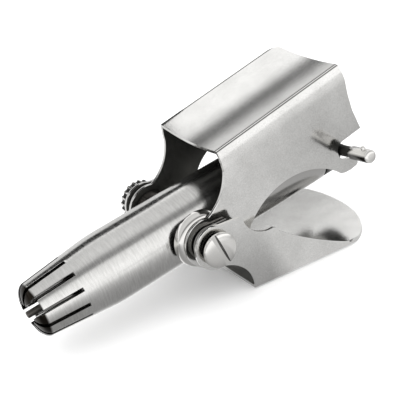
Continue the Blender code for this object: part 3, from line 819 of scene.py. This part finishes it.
def upper_section(x):
    """The closed cross-section of the upper handle's sheet: the outer face, then the inner one."""
    bend = UPPER_BEND_HEIGHT + x * UPPER_SLOPE
    across, rise = UPPER_BEVEL
    edge = UPPER_HALF_WIDTH - across
    wall = [(UPPER_HALF_WIDTH, UPPER_LOW)]
    inside = [(UPPER_HALF_WIDTH - SHEET, UPPER_LOW)]
    height = ROLL_DEPTH + ROLL_HIGH
    for step in range(ROLL_STEPS + 1):
        part = step / ROLL_STEPS
        y, z = UPPER_HALF_WIDTH - ROLL_IN * part**2, bend - ROLL_DEPTH + height * part
        wall.append((y, z))
        lean = math.atan(2 * ROLL_IN * part / height)
        inside.append((y - SHEET * math.cos(lean), z - SHEET * math.sin(lean)))
    roll_end = wall.pop()
    bevel = (roll_end[0] - CREASE, roll_end[1] + CREASE)
    wall += split_line(roll_end, bevel, LIP_STEPS) + [bevel]
    top = bend + rise
    inner = edge - LIP
    fall = LIP * LIP_SLOPE
    outer = [(-y, z) for y, z in wall]
    outer += split_line((-edge, top), (-inner, top - fall), LIP_STEPS)
    trough = []
    for step in range(TROUGH_STEPS + 1):
        y = inner * (2 * step / TROUGH_STEPS - 1)
        trough.append((y, top - fall - TROUGH_DIP * (1 - (y / inner) ** 2)))
    outer += trough + split_line((inner, top - fall), (edge, top - 2 * fall), LIP_STEPS)[1:]
    outer += [(edge, top - 2 * fall)] + wall[::-1]
    under = [(y, z - SHEET) for y, z in trough if abs(y) < inside[-1][0] - TROUGH_UNDER]
    return outer + inside + under[::-1] + [(-y, z) for y, z in inside[::-1]]


def upper_outline():
    """The upper handle from the side: ear, front edge, top, rear edge, fork, arch, and back."""
    outline = arc(0, 0, UPPER_EAR_R, 317.5, 70, 72)
    outline += bowed(outline[-1], UPPER_NOSE, UPPER_NOSE_BOW, 28)[1:]
    outline += [UPPER_NOSE, (UPPER_FRONT, 13)]
    outline += [(UPPER_FRONT - 0.2, UPPER_OVER), (UPPER_REAR - 0.6, UPPER_OVER)]
    outline += UPPER_REAR_EDGE + arc(*FORK_SLOT_END, FORK_SLOT_HALF, 90, 270, 36) + FORK_TOE
    outline += arc(*ARCH_NEAR, 39.7, 136.2, 64)
    return outline + arc(*EAR_HOLLOW, 315, 252, 18)


def corner_cutter():
    """What is taken off round the top plate's far rear corner, seen from above."""
    x, y = CORNER_AT
    outline = arc(x, y, CORNER_R, 90, 0, 28)
    outline += [(UPPER_REAR + 4 * PAST, y), (UPPER_REAR + 4 * PAST, y + CORNER_R + 0.05)]
    return prism("corner", [(px, py, CORNER_LOW) for px, py in outline], (0, 0, CORNER_HEIGHT))


def inside_upper(middle, normal):
    """Whether a face is inside the upper handle's channel, or in one of its creases; these faces get
    painted shade.
    """
    out = abs(middle.y)
    edge = UPPER_HALF_WIDTH - UPPER_BEVEL[0]
    if normal.z > LEVEL and edge - LIP * LIP_SHADE_SHARE < out < edge:
        return True
    bevel = UPPER_HALF_WIDTH - ROLL_IN - CREASE
    first, last = (bevel + share * CREASE for share in CREASE_SHADE)
    if CREASE_LEAN[0] < normal.z < CREASE_LEAN[1] and first < out < last:
        return True
    if out < UPPER_HALF_WIDTH - 2 * SHEET:
        return normal.z < -FACING
    return normal.y * middle.y < 0 and abs(normal.y) > FACING


def make_upper_handle(material, painted_shade):
    """The upper handle: a rolled sheet, cut to its outline and further away on the far side."""
    handle = lofted("upper_grip_plate", [(x, upper_section(x)) for x in SHEET_ENDS])
    width = UPPER_HALF_WIDTH + 2 * PAST
    combine(handle, extruded("side", upper_outline(), -width, width), "INTERSECT")
    cut(handle, extruded("far_arch", circle(*ARCH_FAR, ARCH_FAR_FACETS), ARCH_FAR_INNER, width))
    cut(handle, extruded("hole", circle(0, 0, BORE_R, HINGE_FACETS), -width, width))
    cut(handle, corner_cutter())
    top, bottom = CORNER_LOW + CORNER_HEIGHT, FAR_WALL_REAR[-1][1]
    rear = [(UPPER_REAR + 4 * PAST, bottom), (UPPER_REAR + 4 * PAST, top), (FAR_WALL_REAR[0][0], top)]
    cut(handle, extruded("wall_corner", FAR_WALL_REAR + rear, CORNER_AT[1] + CORNER_R, width))
    shade(handle, 25, 0.07)
    dress(handle, "upper_grip", material, ["upper_handle"])
    # The channel's inside, the lips and the creases are painted dark as shade.
    second_look(handle, painted_shade, inside_upper)


def lower_section(x):
    """The cross-section of the lower handle's outer face: a wall, a fold, the web, and back up."""
    half = LOWER_HALF_WIDTH + max(x - LOWER_FLARE_FROM, 0) * LOWER_FLARE
    web = WEB_DROP + (x - LOWER_FLARE_FROM) * WEB_SLOPE
    fold = arc(half - FOLD_R, web + FOLD_R, FOLD_R, 0, -90, 14)
    points = [(half, LOWER_HIGH)] + fold
    return points + [(-y, z) for y, z in points[::-1]]


def lower_outline():
    """The lower handle from the side: front edge, ear, the notch behind it, and the wall's slope."""
    rear = SHEET_ENDS[1]
    outline = arc(*LOWER_FRONT_HOLLOW, -8, 69.5, 28)
    outline += arc(0, 0, LOWER_EAR_R, 274, 61, 72) + [LOWER_EAR_END]
    outline += arc(*LOWER_NOTCH, 180, 275, 28) + [LOWER_NOTCH_END]
    outline += bowed(*WALL_SLOPE, WALL_SLOPE_BOW, 28) + [WALL_SLOPE[1], (rear, WALL_END)]
    return outline + [(rear, WALL_UNDER), (WEB_FRONT, WALL_UNDER)]


def paddle_outline():
    """The lower handle from above: a paddle with a rounded rear end."""
    outline = []
    for step in range(PADDLE_STEPS + 1):
        turn = math.pi * (step / PADDLE_STEPS - 0.5)
        reach = PADDLE_LENGTH * math.cos(turn) ** (2 / PADDLE_POWER)
        wide = PADDLE_HALF * abs(math.sin(turn)) ** (2 / PADDLE_POWER)
        outline.append((PADDLE_CENTRE + reach, math.copysign(wide, turn)))
    outline += [(0, PADDLE_HALF), (PLAN_FRONT, PADDLE_HALF)]
    return outline + [(PLAN_FRONT, -PADDLE_HALF), (0, -PADDLE_HALF)]


def make_lower_handle(material, painted_shade):
    """The lower handle, cut from a folded sheet by its outlines from the side and from above."""
    front, rear = SHEET_ENDS
    stations = (front, LOWER_FLARE_FROM, INSIDE_SHADE_TO, rear)
    handle = folded_sheet("lower_grip_plate", [(x, lower_section(x)) for x in stations])
    width = PADDLE_HALF + 4 * PAST
    combine(handle, extruded("side", lower_outline(), -width, width), "INTERSECT")
    upright = Matrix.Rotation(math.radians(90), 4, "X")
    combine(handle, extruded("plan", paddle_outline(), -PLAN_REACH, PLAN_REACH, upright), "INTERSECT")
    cut(handle, extruded("hole", circle(0, 0, BORE_R, HINGE_FACETS), -width, width))
    shade(handle, 25, 0.1)
    dress(handle, "lower_grip", material, ["lower_handle"])
    # The inside round the ears is painted dark as shade.
    second_look(handle, painted_shade, inside_ear)


def inside_ear(middle, normal):
    """Whether a face is on the inside of the lower handle, in front where the ears are; these faces get
    painted shade.
    """
    if middle.x > INSIDE_SHADE_TO:
        return False
    on_web = normal.z > LEANING and middle.z < WEB_TOP
    return on_web or abs(normal.y) > LEANING and normal.y * middle.y < 0


# ---------------------------------------------------------------- pivot


def mirrored(profile, side):
    """A profile drawn outwards, on the near or on the far side."""
    return [(distance * side, radius) for distance, radius in profile]


def make_boss(label, side, look, gap_shade_look):
    """The drum between the tube and the upper handle's ear; the near one has a bell-shaped flange."""
    end = UPPER_HALF_WIDTH - SHEET - GAP
    profile = [(BOSS_ROOT, BORE_R), (BOSS_ROOT, BOSS_FOOT_R)]
    if side == NEAR:
        profile += [(BOSS_FLANGE, BOSS_FOOT_R), (BOSS_FLANGE, BOSS_FLANGE_R - BOSS_EDGE)]
        for step in range(21):
            turn = math.radians(90 * step / 20)
            out = BOSS_FLANGE + (end - BOSS_FLANGE) * math.sin(turn)
            fall = (BOSS_FLANGE_R - BOSS_END_R) * (1 - math.cos(turn))
            profile.append((out, BOSS_FLANGE_R - fall))
    else:
        profile.append((end, BOSS_FOOT_R))
    profile.append((end, BORE_R))
    made = turned("boss_" + label + "_fine", mirrored(profile, side), "Y")
    saddle = [(along, TUBE_R + GAP) for along in (-SADDLE_REACH, SADDLE_REACH)]
    saddle = [(-SADDLE_REACH, 0)] + saddle + [(SADDLE_REACH, 0)]
    cut(made, turned("saddle", saddle, "X", 192))
    shade(made, 38)
    dress(made, "barrel", look, ["boss_" + label])
    # Painted shade: the foot, out to where the flange starts, is drawn black.
    second_look(made, gap_shade_look, lambda middle, normal: abs(middle.y) < BOSS_FLANGE + 0.05)


def make_spacer(label, side, look, low, high):
    """The ring between the ears of the two handles."""
    profile = [(low, BORE_R), (low, SPACER_R), (high, SPACER_R), (high, BORE_R)]
    made = shade(turned("spacer_" + label + "_fine", mirrored(profile, side), "Y", 64), 30, 0.04)
    dress(made, "barrel", look, ["spacer_" + label])


def make_torsion_spring(label, side, look, low, high):
    """The spring round a spacer; both its tails run rearwards."""
    start = (low + SPRING_WIRE) * side
    pitch = (high - low - 2 * SPRING_WIRE) / SPRING_TURNS * side
    points = []
    for step in range(round(SPRING_TURNS * SPRING_STEPS) + 1):
        turn = 2 * math.pi * step / SPRING_STEPS
        x = SPRING_COIL_R * math.cos(turn + math.pi / 2)
        z = SPRING_COIL_R * math.sin(turn + math.pi / 2)
        points.append((x, start + pitch * turn / (2 * math.pi), z))
    first = tuple(Vector(points[0]) + SPRING_INNER_TAIL)
    last = tuple(Vector(points[-1]) + SPRING_OUTER_TAIL)
    made = shade(swept("spring_" + label + "_fine", [first] + points + [last], SPRING_WIRE), 60)
    dress(made, "barrel", look, ["spring_" + label])


def make_pivot_side(label, side, look, gap_shade_look, wire):
    """Boss, spacer and torsion spring of one side, from the tube outwards."""
    make_boss(label, side, look, gap_shade_look)
    low = UPPER_HALF_WIDTH + GAP
    high = LOWER_HALF_WIDTH - SHEET - GAP
    # The spacer is painted black as the shade between the ears.
    make_spacer(label, side, gap_shade_look, low, high)
    make_torsion_spring(label, side, wire, low, high)


def make_washer(look):
    """The thin washer under the screw's head, painted black as the shadow under the head."""
    low = LOWER_HALF_WIDTH + GAP
    high = low + WASHER_THICK
    profile = [(low, BORE_R), (low, WASHER_R), (high, WASHER_R), (high, BORE_R)]
    made = shade(turned("washer_fine", mirrored(profile, NEAR), "Y", 96), 30, 0.04)
    dress(made, "barrel", look, ["screw_washer"])


def make_screw(look, slot_shade_look):
    """The near pivot: a shank with a low domed head and a slot."""
    base = LOWER_HALF_WIDTH + GAP + WASHER_THICK + GAP
    profile = [(AXLE_INNER, 0), (AXLE_INNER, AXLE_R), (base, AXLE_R), (base, HEAD_R - HEAD_EDGE)]
    profile += arc(base + HEAD_EDGE, HEAD_R - HEAD_EDGE, HEAD_EDGE, 180, 90, 3)
    for step in range(13):
        turn = math.radians(90 * step / 13)
        rise = (HEAD_RISE - HEAD_RIM) * math.sin(turn)
        profile.append((base + HEAD_RIM + rise, HEAD_R * math.cos(turn) ** HEAD_POWER))
    profile.append((base + HEAD_RISE, 0))
    made = turned("screw_fine", mirrored(profile, NEAR), "Y")
    bm = bmesh.new()
    centre = (base + HEAD_RISE - HEAD_SLOT_DEPTH + PAST) * NEAR
    slot = box(bm, (HEAD_SLOT_WIDTH, 2 * PAST, 3 * HEAD_R), (0, centre, 0))
    bmesh.ops.rotate(bm, matrix=Matrix.Rotation(HEAD_SLOT_TURN, 3, "Y"), verts=slot)
    cut(made, raw_object("slot", bm))
    shade(made, 38, 0.05)
    dress(made, "barrel", look, ["pivot_screw"])
    # Painted shade: the slot's side walls are drawn black.
    second_look(made, slot_shade_look, lambda middle, normal: in_screw_slot(middle, normal, base))


def in_screw_slot(middle, normal, base):
    """Whether a face is one of the two side walls of the screw's slot."""
    inner = math.hypot(middle.x, middle.z) < HEAD_R - 0.3
    return -middle.y > base + 0.2 and abs(normal.y) < LEANING and inner


def make_stud(look, base):
    """The far pivot: a plain stud that ends just outside the nut."""
    end = base + NUT_HEIGHT + STUD_PROUD
    profile = [(AXLE_INNER, 0), (AXLE_INNER, AXLE_R), (end - STUD_BEVEL, AXLE_R)]
    profile += [(end, AXLE_R - STUD_BEVEL), (end, 0)]
    made = shade(turned("stud_fine", profile, "Y", 64), 30, 0.04)
    dress(made, "barrel", look, ["pivot_stud"])


def make_nut(look, groove_shade_look, base):
    """The knurled nut: a ring of blunt teeth, bevelled at both ends."""
    outline = []
    half = NUT_HALF_TOOTH
    tooth_shape = half + tuple((-part, radius) for part, radius in half[::-1])
    for tooth in range(NUT_TEETH):
        for part, radius in tooth_shape:
            turn = 2 * math.pi * (tooth + part) / NUT_TEETH
            outline.append((radius * math.cos(turn), radius * math.sin(turn)))
    top = base + NUT_HEIGHT
    nut = extruded("nut_fine", outline, base, top)
    blank = [(base + NUT_INNER_CONE[0][0], BORE_R)]
    blank += [(base + out, NUT_R + beyond) for out, beyond in NUT_INNER_CONE]
    blank += [(top + out, NUT_R + beyond) for out, beyond in NUT_OUTER_CONE]
    blank.append((top + NUT_OUTER_CONE[-1][0], BORE_R))
    combine(nut, turned("blank", blank, "Y", 96), "INTERSECT")
    shade(nut, 30, 0.04)
    dress(nut, "nut", look, ["knurled_nut"])
    # Painted shade: the grooves and the bore are drawn black.
    second_look(nut, groove_shade_look, in_nut_groove)


def in_nut_groove(middle, normal):
    """Whether a face is in a groove of the knurling or in the nut's bore."""
    return abs(normal.y) < 0.5 and math.hypot(middle.x, middle.z) < NUT_SHADE_R


def make_bush(look):
    """The bush that keeps the shaft in the tube's middle."""
    front, rear = BUSH
    profile = [(front, BORE_R), (front, HUB_PLUG_R), (rear, HUB_PLUG_R), (rear, BORE_R)]
    made = shade(turned("bush_fine", profile, "X", 96), 30, 0.06)
    dress(made, "barrel", look, ["guide_bush"])


def make_blade_spring(look):
    """The coil round the shaft, from the blade's socket to the bush."""
    start = BLADE_BACK + SOCKET_LENGTH + GAP + COIL_WIRE
    length = BUSH[0] - GAP - COIL_WIRE - start
    steps = COIL_TURNS * COIL_STEPS
    points = []
    for step in range(steps + 1):
        turn = 2 * math.pi * step / COIL_STEPS
        x = start + length * step / steps
        points.append((x, COIL_R * math.cos(turn), COIL_R * math.sin(turn)))
    made = shade(swept("coil_fine", points, COIL_WIRE), 60)
    dress(made, "barrel", look, ["blade_spring"])


# ---------------------------------------------------------------- stage


def plane(name, corners):
    """A flat stage piece through corners in metres."""
    mesh = bpy.data.meshes.new(name)
    mesh.from_pydata(corners, [], [tuple(range(len(corners)))])
    made = bpy.data.objects.new(name, mesh)
    bpy.context.scene.collection.objects.link(made)
    return made


def tone_ramp(tree, source, low, high, stops):
    """A grey ramp over a value that runs from low to high; stops are (value, grey)."""
    spread = tree.nodes.new("ShaderNodeMapRange")
    tree.links.new(source, spread.inputs["Value"])
    spread.inputs["From Min"].default_value = low
    spread.inputs["From Max"].default_value = high
    ramp = tree.nodes.new("ShaderNodeValToRGB")
    tree.links.new(spread.outputs["Result"], ramp.inputs["Fac"])
    made = ramp.color_ramp
    for number, (value, grey) in enumerate(stops):
        place = (value - low) / (high - low)
        stop = made.elements[number] if number < 2 else made.elements.new(place)
        stop.position = place
        stop.color = (grey, grey, grey, 1)
    return ramp.outputs["Color"]


def make_floor():
    """A white floor that the metal sees in softly shaded tones."""
    corners = [(-FLOOR, -FLOOR, 0), (FLOOR, -FLOOR, 0), (FLOOR, FLOOR, 0), (-FLOOR, FLOOR, 0)]
    floor = plane("floor", corners)
    nodes = Nodes("pale_floor")
    cloud = nodes.noise((3, 3, 3), detail=2.0)
    nodes.feed("Base Color", nodes.mix(cloud, *FLOOR_WHITES))
    nodes.shader.inputs["Roughness"].default_value = 0.9
    nodes.shader.inputs["Specular IOR Level"].default_value = 0.0
    split = nodes.add("SeparateXYZ", {"Vector": nodes.add("NewGeometry").outputs["Position"]})
    start, end, share = FLOOR_FALL
    fall = nodes.spread(split.outputs["X"], 1.0, share, start, end)
    tone = tone_ramp(nodes.tree, split.outputs["Y"], *FLOOR_TONES)
    start, end, grey = FLOOR_REAR
    lift = nodes.spread(split.outputs["X"], 0.0, grey, start, end)
    tone = nodes.add("Math", {0: tone, 1: lift}, operation="MAXIMUM").outputs[0]
    # Painted shade for reflections only: the floor glows in these greys for glossy rays.
    painted_shade_glow = nodes.add("Emission", {"Color": tone, "Strength": fall})
    choice = nodes.add("MixShader", {0: nodes.add("LightPath").outputs["Is Glossy Ray"]})
    nodes.tree.links.new(nodes.shader.outputs[0], choice.inputs[1])
    nodes.tree.links.new(painted_shade_glow.outputs[0], choice.inputs[2])
    output = nodes.tree.nodes["Material Output"]
    nodes.tree.links.new(choice.outputs[0], output.inputs["Surface"])
    floor.data.materials.append(nodes.material)


def make_flags():
    """Black cards that only reflections see."""
    cloth = Nodes("black_card")
    cloth.shader.inputs["Base Color"].default_value = FLAG_BLACK
    cloth.shader.inputs["Roughness"].default_value = 1.0
    cloth.shader.inputs["Specular IOR Level"].default_value = 0.0
    for number, (x0, x1, y, z0, z1) in enumerate(FLAGS):
        corners = [(x0, y, z0), (x1, y, z0), (x1, y, z1), (x0, y, z1)]
        flag = plane("flag_" + str(number), corners)
        flag.data.materials.append(cloth.material)
        flag.visible_camera = False
        flag.visible_diffuse = False
        flag.visible_shadow = False


def make_world():
    """White light all round; the metal sees a softly banded tent over the trimmer instead."""
    world = bpy.data.worlds.new("studio")
    bpy.context.scene.world = world
    world.use_nodes = True
    tree = world.node_tree
    background = tree.nodes["Background"]
    coordinates = tree.nodes.new("ShaderNodeTexCoord")
    split = tree.nodes.new("ShaderNodeSeparateXYZ")
    tree.links.new(coordinates.outputs["Generated"], split.inputs[0])
    front = tree.nodes.new("ShaderNodeMath")
    front.operation = "MULTIPLY"
    front.inputs[1].default_value = -1.0
    tree.links.new(split.outputs["Y"], front.inputs[0])
    turn = tree.nodes.new("ShaderNodeMath")
    turn.operation = "ARCTAN2"
    tree.links.new(split.outputs["Z"], turn.inputs[0])
    tree.links.new(front.outputs[0], turn.inputs[1])
    stops = [(math.radians(angle), grey) for angle, grey in TENT]
    tent = tone_ramp(tree, turn.outputs[0], 0.0, math.pi, stops)
    paths = tree.nodes.new("ShaderNodeLightPath")
    mix = tree.nodes.new("ShaderNodeMix")
    mix.data_type = "RGBA"
    tree.links.new(paths.outputs["Is Glossy Ray"], mix.inputs["Factor"])
    mix.inputs[COLOUR_A].default_value = (OPEN_LIGHT, OPEN_LIGHT, OPEN_LIGHT, 1.0)
    tree.links.new(tent, mix.inputs[COLOUR_B])
    tree.links.new(mix.outputs[COLOUR_OUT], background.inputs["Color"])


def make_camera():
    """The camera, placed from the pivot and turned by azimuth, dip and roll."""
    data = bpy.data.cameras.new("camera")
    data.lens = CAMERA_LENS
    data.sensor_width = CAMERA_SENSOR
    data.clip_start = CAMERA_NEAREST
    camera = bpy.data.objects.new("camera", data)
    bpy.context.scene.collection.objects.link(camera)
    flat = math.cos(CAMERA_DOWN)
    ahead = Vector((
        math.sin(CAMERA_AZIMUTH) * flat,
        math.cos(CAMERA_AZIMUTH) * flat,
        -math.sin(CAMERA_DOWN),
    ))
    look = ahead.to_track_quat("-Z", "Y").to_matrix().to_4x4()
    spot = Matrix.Translation(pivot + CAMERA_FROM_PIVOT)
    camera.matrix_world = spot @ look @ Matrix.Rotation(CAMERA_ROLL, 4, "Z")
    bpy.context.scene.camera = camera


def build():
    """Makes the steels, the twenty pieces, the stage and the camera."""
    tube_steel = crown_steel()
    handle_steel = steel(
        "handle_satin", (0.58, 0.575, 0.56), (0.80, 0.795, 0.78), (0.11, 0.18),
        (4800, 4800, 4800), 0.0045, blotch=(200, 200, 200), fine=(4800, 4800, 4800),
    ).material
    # Painted shade: a dark steel for the handles' insides and creases.
    painted_shade = steel(
        "painted_shade_satin", (0.10, 0.10, 0.095), (0.16, 0.16, 0.15), (0.35, 0.5), (1500, 1500, 1500), 0.003
    ).material
    polished = steel(
        "polished", (0.66, 0.65, 0.63), (0.78, 0.77, 0.75), (0.07, 0.15), (900, 900, 900), 0.002
    ).material
    # Painted shade: a dark copy of the steel, for the blade inside the tube and the far boss.
    dark = steel(
        "painted_shade_dark", (0.06, 0.06, 0.055), (0.14, 0.13, 0.12), (0.3, 0.45), (60, 2000, 2000), 0.004
    ).material
    # Near-black steel for the hub, and painted shade for gaps, recesses, grooves and the pin's neck.
    black = steel(
        "hub_black_and_painted_shade", (0.015, 0.015, 0.015), (0.045, 0.045, 0.04), (0.3, 0.5), (900, 900, 900), 0.003
    ).material
    wire = steel(
        "wire", (0.20, 0.20, 0.19), (0.34, 0.33, 0.32), (0.25, 0.4), (900, 900, 900), 0.002
    ).material
    pin_light_and_shade = pin_steel()
    make_tube(tube_steel)
    make_blade(dark)
    make_hub(black)
    make_pin(pin_light_and_shade, black)
    make_lug(pin_light_and_shade)
    make_shaft(polished)
    make_upper_handle(handle_steel, painted_shade)
    make_lower_handle(handle_steel, painted_shade)
    make_pivot_side("near", NEAR, polished, black, wire)
    # The far boss is painted darker than the near one, as shade.
    make_pivot_side("far", FAR, dark, black, wire)
    make_washer(black)
    make_screw(polished, black)
    far_base = LOWER_HALF_WIDTH + GAP
    make_stud(polished, far_base)
    make_nut(polished, black, far_base)
    make_bush(tube_steel)
    make_blade_spring(wire)
    make_floor()
    make_flags()
    make_world()
    make_camera()
    bpy.context.scene.view_settings.view_transform = "Standard"


build()
